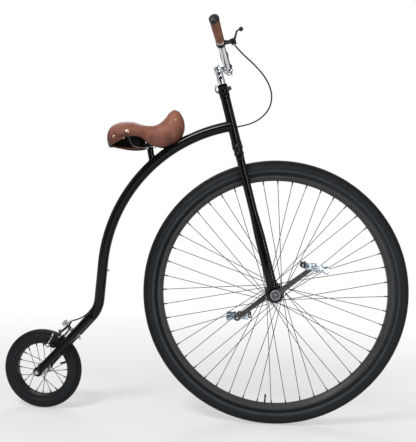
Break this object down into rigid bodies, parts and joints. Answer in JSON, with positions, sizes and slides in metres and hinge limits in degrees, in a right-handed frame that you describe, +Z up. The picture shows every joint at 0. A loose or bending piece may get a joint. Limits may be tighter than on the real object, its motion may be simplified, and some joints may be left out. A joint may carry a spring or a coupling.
{
  "type": "penny farthing bicycle",
  "caption": "Tall pedal-driven front wheel under a curved tube frame, with a brown leather saddle, a small braked rear wheel and a wide handlebar.",
  "frame": {"origin": "top of the saddle where the rider sits, in the frame's centre plane", "axes": "+X forward, +Y to the rider's left, +Z up, with both wheels on level ground"},
  "size_m": [1.4246, 0.6185, 1.3396],
  "materials": {
    "frame_paint": "gloss black paint",
    "rim_paint": "satin black",
    "tyre": "black rubber",
    "steel": "plated steel",
    "dark_steel": "dark grey steel",
    "chrome": "polished chrome",
    "alloy": "bright alloy",
    "leather": "brown leather",
    "black_plastic": "black plastic",
    "cable": "black cable housing",
    "rubber": "black brake rubber",
    "reflector": "pale reflector in a black case"
  },
  "bodies": {
    "frame": {"backbone": "frame_paint", "brake_anchor": "steel", "brake_arm_left": "dark_steel", "brake_arm_right": "dark_steel", "brake_bolt": "steel", "brake_cable": "cable", "brake_pads": "rubber", "cable_clips": "black_plastic", "head_tube": "frame_paint", "headset_cups": "frame_paint", "mounting_step": "alloy", "rear_axle": "steel", "rear_axle_nuts": "steel", "rear_bridge": "frame_paint", "rear_dropouts": "frame_paint", "rear_fork_legs": "frame_paint", "saddle_base": "black_plastic", "saddle_clamp": "dark_steel", "saddle_leather": "leather", "saddle_rails": "dark_steel", "seat_post": "frame_paint"},
    "fork": {"fork_crown": "frame_paint", "steerer": "steel", "fork_legs": "frame_paint", "bearing_housings": "frame_paint", "stem_collar": "frame_paint", "stem_lever": "chrome", "stem_column": "chrome", "stem_clamp": "chrome", "stem_faceplate": "chrome", "handlebar": "chrome", "grips": "leather", "grip_caps": "black_plastic", "lever_bracket": "black_plastic", "lever_blade": "black_plastic", "brake_cable_loop": "cable"},
    "front_wheel": {"front_tyre": "tyre", "front_rim": "rim_paint", "front_spokes": "steel", "front_hub": "dark_steel", "cranks": "dark_steel", "pedal_axles": "steel", "front_valve": "black_plastic"},
    "pedal_right": {"pedal_right": "alloy", "reflector_right": "reflector"},
    "pedal_left": {"pedal_left": "alloy", "reflector_left": "reflector"},
    "rear_wheel": {"rear_tyre": "tyre", "rear_rim": "rim_paint", "rear_spokes": "steel", "rear_hub": "dark_steel", "rear_valve": "black_plastic"}
  },
  "joints": [
    {"name": "steering", "type": "hinge", "parent": "frame", "child": "fork", "pos_m": [0.44614, 0, -0.56906], "axis": [-0.2656, 0, 0.9641], "range_deg": [-50.2, 39.8], "deforming": ["brake_cable_loop"]},
    {"name": "front_wheel_spin", "type": "hinge", "parent": "fork", "child": "front_wheel", "pos_m": [0.44998, 0.00036, -0.568], "axis": [-0.0874, 0.9959, -0.0241], "continuous": true},
    {"name": "pedal_right_spin", "type": "hinge", "parent": "front_wheel", "child": "pedal_right", "pos_m": [0.58744, -0.12061, -0.46341], "axis": [-0.0874, 0.9959, -0.0241], "continuous": true},
    {"name": "pedal_left_spin", "type": "hinge", "parent": "front_wheel", "child": "pedal_left", "pos_m": [0.31252, 0.12133, -0.6726], "axis": [-0.0874, 0.9959, -0.0241], "continuous": true},
    {"name": "rear_wheel_spin", "type": "hinge", "parent": "frame", "child": "rear_wheel", "pos_m": [-0.3778, 0, -0.8795], "axis": [0, 1, 0], "continuous": true}
  ]
}
